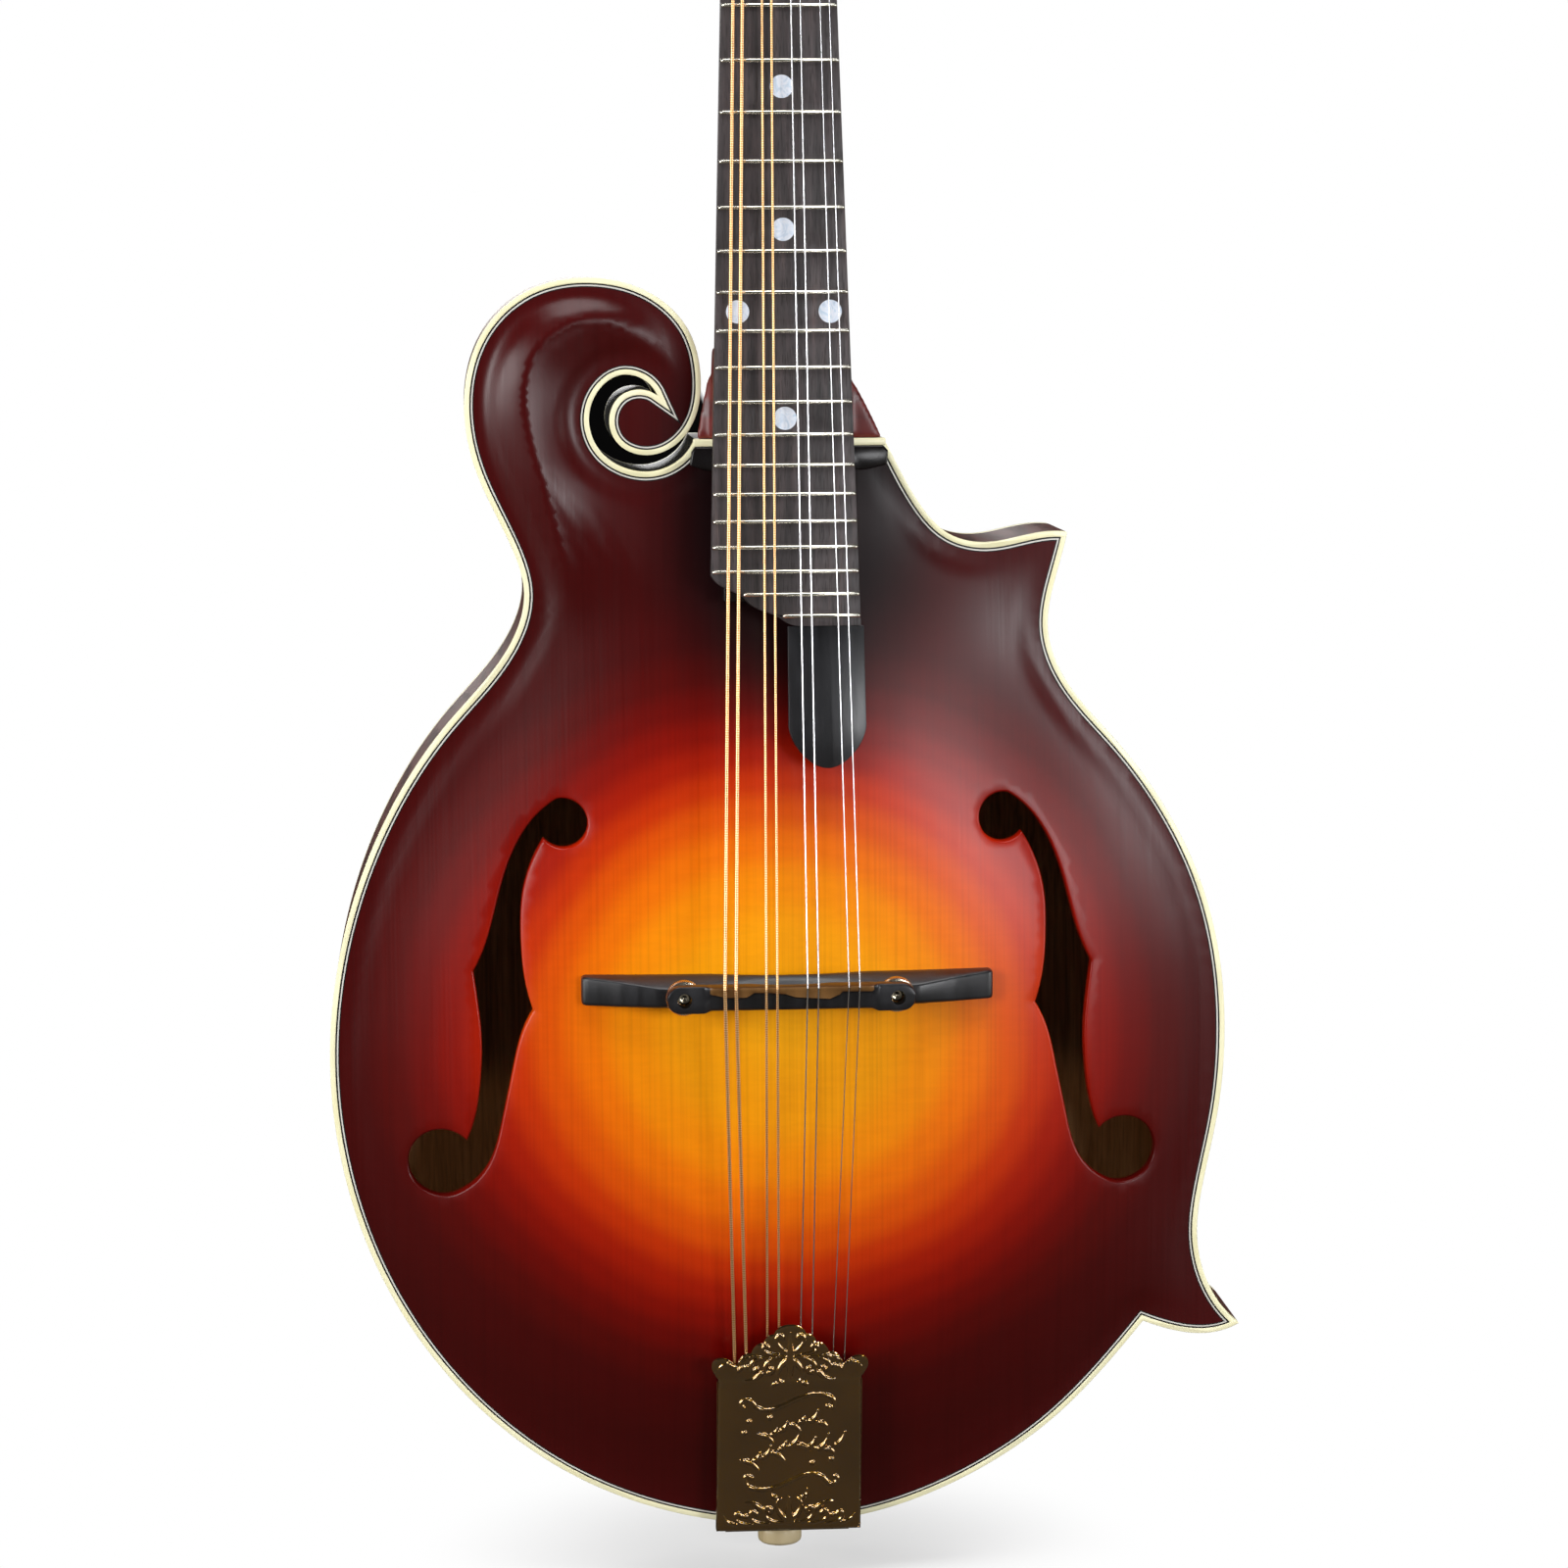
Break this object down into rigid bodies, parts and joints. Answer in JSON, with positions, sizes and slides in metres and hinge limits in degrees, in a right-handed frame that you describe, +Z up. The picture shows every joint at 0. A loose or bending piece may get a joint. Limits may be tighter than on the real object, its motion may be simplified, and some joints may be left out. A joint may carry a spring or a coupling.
{
  "type": "mandolin",
  "caption": "Scroll-body mandolin with carved arched top, f-holes, floating adjustable bridge, covered tailpiece and geared tuners.",
  "frame": {"origin": "middle of the strap button's head, on the centre line of the body and halfway through the rim", "axes": "+Z up the body towards the neck, +Y out of the back, -Y out of the carved front, +X to the treble side"},
  "size_m": [0.2563, 0.0944, 0.6732],
  "materials": {
    "spruce": "satin sunburst lacquer on spruce",
    "maple": "satin dark red-brown lacquer on flamed maple",
    "block_wood": "bare mahogany and spruce inside",
    "cream_plastic": "ivory-coloured binding",
    "black_plastic": "black line",
    "white_plastic": "white line",
    "board_wood": "oiled dark brown-grey hardwood",
    "ebony": "satin black",
    "fret_wire": "polished nickel silver",
    "pearl": "mother of pearl",
    "bone": "polished bone",
    "steel_wire": "plain steel string",
    "bronze_wire": "bronze-wound string",
    "tailpiece_metal": "dark olive bronze, glossy",
    "nickel": "nickel plating",
    "gear_brass": "brass",
    "button_plastic": "pearloid",
    "steel": "steel rod"
  },
  "bodies": {
    "body": {"top_plate": "spruce", "back_plate": "maple", "ribs": "maple", "top_lining": "block_wood", "back_lining": "block_wood", "head_block": "block_wood", "tail_block": "block_wood", "point_blocks": "block_wood", "tone_bars": "block_wood", "neck": "maple", "truss_rod": "steel", "truss_rod_nut": "gear_brass", "fretboard": "board_wood", "frets": "fret_wire", "fret_markers": "pearl", "fretboard_extension": "ebony", "neck_riser": "ebony", "nut": "bone", "bridge_base": "ebony", "bridge_posts": "nickel", "tailpiece_base": "tailpiece_metal", "tailpiece_screws": "tailpiece_metal", "strap_button": "cream_plastic", "top_binding": "cream_plastic", "top_line_black": "black_plastic", "top_line_white": "white_plastic", "back_binding": "cream_plastic", "strings_g": "bronze_wire", "strings_d": "bronze_wire", "strings_a": "steel_wire", "strings_e": "steel_wire", "headstock_overlay": "ebony", "headstock_binding": "cream_plastic", "headstock_inlay": "pearl", "truss_rod_cover": "ebony", "truss_cover_screws": "nickel", "tuner_plate_bass": "nickel", "tuner_plate_treble": "nickel", "tuner_plate_screws": "nickel", "tuner_bushings": "nickel"},
    "saddle": {"bridge_saddle": "ebony"},
    "wheel_bass": {"thumbwheel_bass": "nickel"},
    "wheel_treble": {"thumbwheel_treble": "nickel"},
    "cover": {"tailpiece_cover": "tailpiece_metal"},
    "key_1": {"tuner_key_1": "button_plastic"},
    "post_1": {"tuner_post_1": "gear_brass"},
    "key_2": {"tuner_key_2": "button_plastic"},
    "post_2": {"tuner_post_2": "gear_brass"},
    "key_3": {"tuner_key_3": "button_plastic"},
    "post_3": {"tuner_post_3": "gear_brass"},
    "key_4": {"tuner_key_4": "button_plastic"},
    "post_4": {"tuner_post_4": "gear_brass"},
    "key_5": {"tuner_key_5": "button_plastic"},
    "post_5": {"tuner_post_5": "gear_brass"},
    "key_6": {"tuner_key_6": "button_plastic"},
    "post_6": {"tuner_post_6": "gear_brass"},
    "key_7": {"tuner_key_7": "button_plastic"},
    "post_7": {"tuner_post_7": "gear_brass"},
    "key_8": {"tuner_key_8": "button_plastic"},
    "post_8": {"tuner_post_8": "gear_brass"}
  },
  "joints": [
    {"name": "tuner_key_1_turn", "type": "hinge", "parent": "body", "child": "key_1", "pos_m": [-0.0165, 0.00415, 0.54906], "axis": [1, 0, 0], "continuous": true},
    {"name": "tuner_post_1_turn", "type": "hinge", "parent": "body", "child": "post_1", "pos_m": [-0.0165, 0.00658, 0.55637], "axis": [0, -0.949, 0.3153], "continuous": true},
    {"name": "tuner_key_2_turn", "type": "hinge", "parent": "body", "child": "key_2", "pos_m": [-0.0165, 0.01141, 0.57089], "axis": [1, 0, 0], "continuous": true},
    {"name": "tuner_post_2_turn", "type": "hinge", "parent": "body", "child": "post_2", "pos_m": [-0.0165, 0.01383, 0.5782], "axis": [0, -0.949, 0.3153], "continuous": true},
    {"name": "tuner_key_3_turn", "type": "hinge", "parent": "body", "child": "key_3", "pos_m": [-0.0165, 0.01866, 0.59272], "axis": [1, 0, 0], "continuous": true},
    {"name": "tuner_post_3_turn", "type": "hinge", "parent": "body", "child": "post_3", "pos_m": [-0.0165, 0.02109, 0.60002], "axis": [0, -0.949, 0.3153], "continuous": true},
    {"name": "tuner_key_4_turn", "type": "hinge", "parent": "body", "child": "key_4", "pos_m": [-0.0165, 0.02591, 0.61454], "axis": [1, 0, 0], "continuous": true},
    {"name": "tuner_post_4_turn", "type": "hinge", "parent": "body", "child": "post_4", "pos_m": [-0.0165, 0.02834, 0.62185], "axis": [0, -0.949, 0.3153], "continuous": true},
    {"name": "tuner_key_5_turn", "type": "hinge", "parent": "body", "child": "key_5", "pos_m": [0.0165, 0.00415, 0.54906], "axis": [1, 0, 0], "continuous": true},
    {"name": "tuner_post_5_turn", "type": "hinge", "parent": "body", "child": "post_5", "pos_m": [0.0165, 0.00658, 0.55637], "axis": [0, -0.949, 0.3153], "continuous": true},
    {"name": "tuner_key_6_turn", "type": "hinge", "parent": "body", "child": "key_6", "pos_m": [0.0165, 0.01141, 0.57089], "axis": [1, 0, 0], "continuous": true},
    {"name": "tuner_post_6_turn", "type": "hinge", "parent": "body", "child": "post_6", "pos_m": [0.0165, 0.01383, 0.5782], "axis": [0, -0.949, 0.3153], "continuous": true},
    {"name": "tuner_key_7_turn", "type": "hinge", "parent": "body", "child": "key_7", "pos_m": [0.0165, 0.01866, 0.59272], "axis": [1, 0, 0], "continuous": true},
    {"name": "tuner_post_7_turn", "type": "hinge", "parent": "body", "child": "post_7", "pos_m": [0.0165, 0.02109, 0.60002], "axis": [0, -0.949, 0.3153], "continuous": true},
    {"name": "tuner_key_8_turn", "type": "hinge", "parent": "body", "child": "key_8", "pos_m": [0.0165, 0.02591, 0.61454], "axis": [1, 0, 0], "continuous": true},
    {"name": "tuner_post_8_turn", "type": "hinge", "parent": "body", "child": "post_8", "pos_m": [0.0165, 0.02834, 0.62185], "axis": [0, -0.949, 0.3153], "continuous": true},
    {"name": "saddle_lift", "type": "slide", "parent": "body", "child": "saddle", "axis": [0, -1, 0], "range_m": [-0.001, 0.002], "deforming": ["strings_g", "strings_d", "strings_a", "strings_e"]},
    {"name": "thumbwheel_treble_turn", "type": "hinge", "parent": "saddle", "child": "wheel_treble", "pos_m": [0.0296, -0.0477, 0.1684], "axis": [0, -1, 0], "range_deg": [-360, 720]},
    {"name": "thumbwheel_bass_turn", "type": "hinge", "parent": "saddle", "child": "wheel_bass", "pos_m": [-0.0288, -0.0477, 0.1684], "axis": [0, -1, 0], "range_deg": [-360, 720]},
    {"name": "tailpiece_cover_slide", "type": "slide", "parent": "body", "child": "cover", "axis": [0, 0.1676, -0.9859], "range_m": [0, 0.07]}
  ],
  "couplings": [
    {"joint": "tuner_post_1_turn", "follows": "tuner_key_1_turn", "ratio": -0.066667},
    {"joint": "tuner_post_2_turn", "follows": "tuner_key_2_turn", "ratio": -0.066667},
    {"joint": "tuner_post_3_turn", "follows": "tuner_key_3_turn", "ratio": -0.066667},
    {"joint": "tuner_post_4_turn", "follows": "tuner_key_4_turn", "ratio": -0.066667},
    {"joint": "tuner_post_5_turn", "follows": "tuner_key_5_turn", "ratio": -0.066667},
    {"joint": "tuner_post_6_turn", "follows": "tuner_key_6_turn", "ratio": -0.066667},
    {"joint": "tuner_post_7_turn", "follows": "tuner_key_7_turn", "ratio": -0.066667},
    {"joint": "tuner_post_8_turn", "follows": "tuner_key_8_turn", "ratio": -0.066667},
    {"joint": "thumbwheel_treble_turn", "follows": "saddle_lift", "rad_per_m": 6283.2},
    {"joint": "thumbwheel_bass_turn", "follows": "saddle_lift", "rad_per_m": 6283.2}
  ]
}
